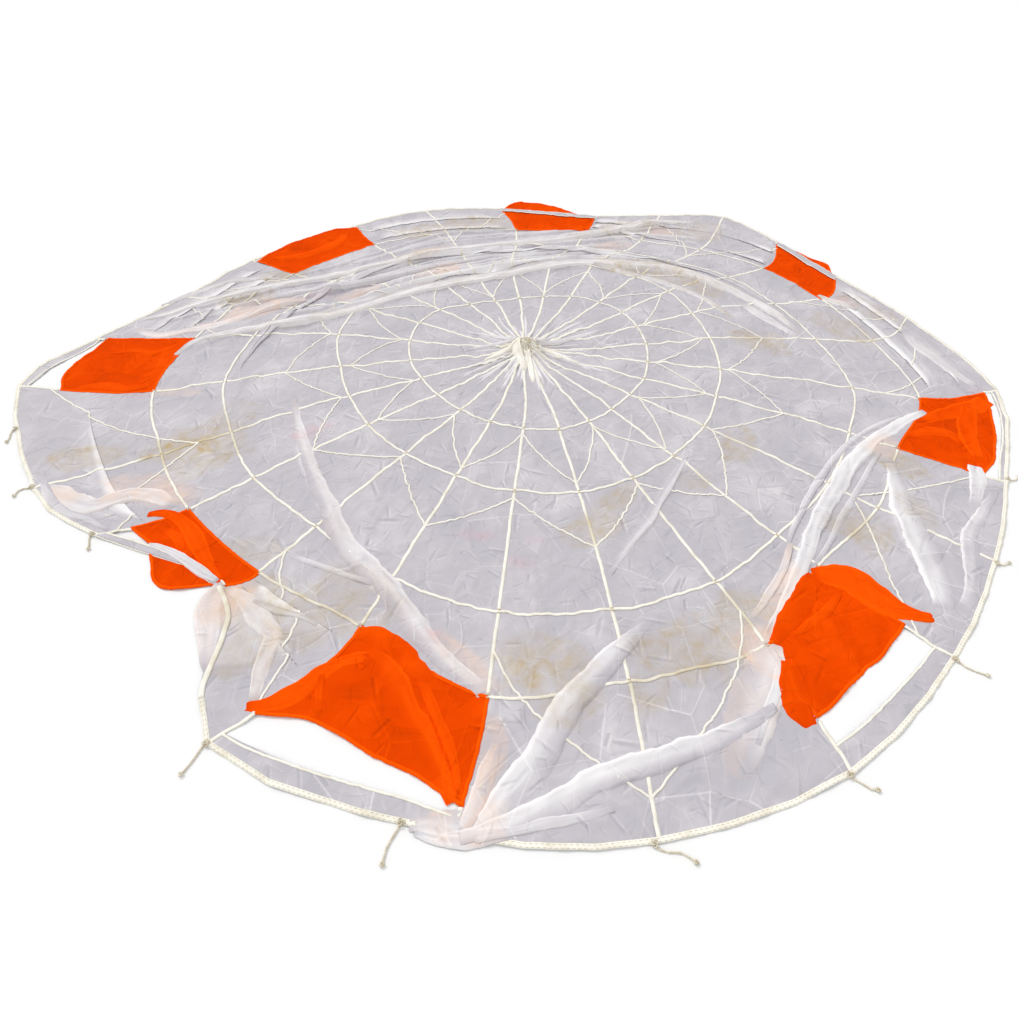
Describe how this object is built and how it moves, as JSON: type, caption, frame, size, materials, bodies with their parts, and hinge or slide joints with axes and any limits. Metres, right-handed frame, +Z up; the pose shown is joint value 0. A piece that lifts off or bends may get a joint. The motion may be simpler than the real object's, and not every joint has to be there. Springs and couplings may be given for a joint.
{
  "type": "parachute canopy",
  "caption": "Round parachute canopy laid out flat on the floor: thin white gores with cream tapes, orange panels over open slots, a narrow skirt band and a gathered apex.",
  "frame": {"origin": "the apex of the canopy, on the floor it lies on", "axes": "+Z up from the floor, -Y towards the front of the canopy as laid, +X along its longer side"},
  "size_m": [7.6851, 6.7343, 0.144],
  "materials": {
    "white_nylon": "sheer white ripstop nylon, faintly lilac, with tan stains",
    "orange_nylon": "bright orange thin nylon, slightly sheer",
    "cream_tape": "woven cream-white nylon tape, matte",
    "beige_line": "twisted beige nylon cord, matte"
  },
  "bodies": {
    "root": {"gore_00": "white_nylon", "gore_01": "white_nylon", "gore_02": "white_nylon", "gore_03": "white_nylon", "gore_04": "white_nylon", "gore_05": "white_nylon", "gore_06": "white_nylon", "gore_07": "white_nylon", "gore_08": "white_nylon", "gore_09": "white_nylon", "gore_10": "white_nylon", "gore_11": "white_nylon", "gore_12": "white_nylon", "gore_13": "white_nylon", "gore_14": "white_nylon", "gore_15": "white_nylon", "gore_16": "white_nylon", "gore_17": "white_nylon", "gore_18": "white_nylon", "gore_19": "white_nylon", "gore_20": "white_nylon", "gore_21": "white_nylon", "gore_22": "white_nylon", "gore_23": "white_nylon", "panel_02": "orange_nylon", "panel_04": "orange_nylon", "panel_07": "orange_nylon", "panel_10": "orange_nylon", "panel_13": "orange_nylon", "panel_17": "orange_nylon", "panel_20": "orange_nylon", "panel_23": "orange_nylon", "band_02": "white_nylon", "band_04": "white_nylon", "band_07": "white_nylon", "band_10": "white_nylon", "band_13": "white_nylon", "band_17": "white_nylon", "band_20": "white_nylon", "band_23": "white_nylon", "tape_net": "cream_tape", "ring_tape_1": "cream_tape", "ring_tape_2": "cream_tape", "ring_tape_3": "cream_tape", "ring_tape_4": "cream_tape", "apex_gather": "cream_tape", "line_b_inner": "beige_line", "line_b": "beige_line", "line_c": "beige_line", "line_e": "beige_line", "line_f": "beige_line", "line_g": "beige_line", "line_h": "beige_line", "line_i": "beige_line", "line_j": "beige_line", "line_k": "beige_line"}
  },
  "joints": []
}
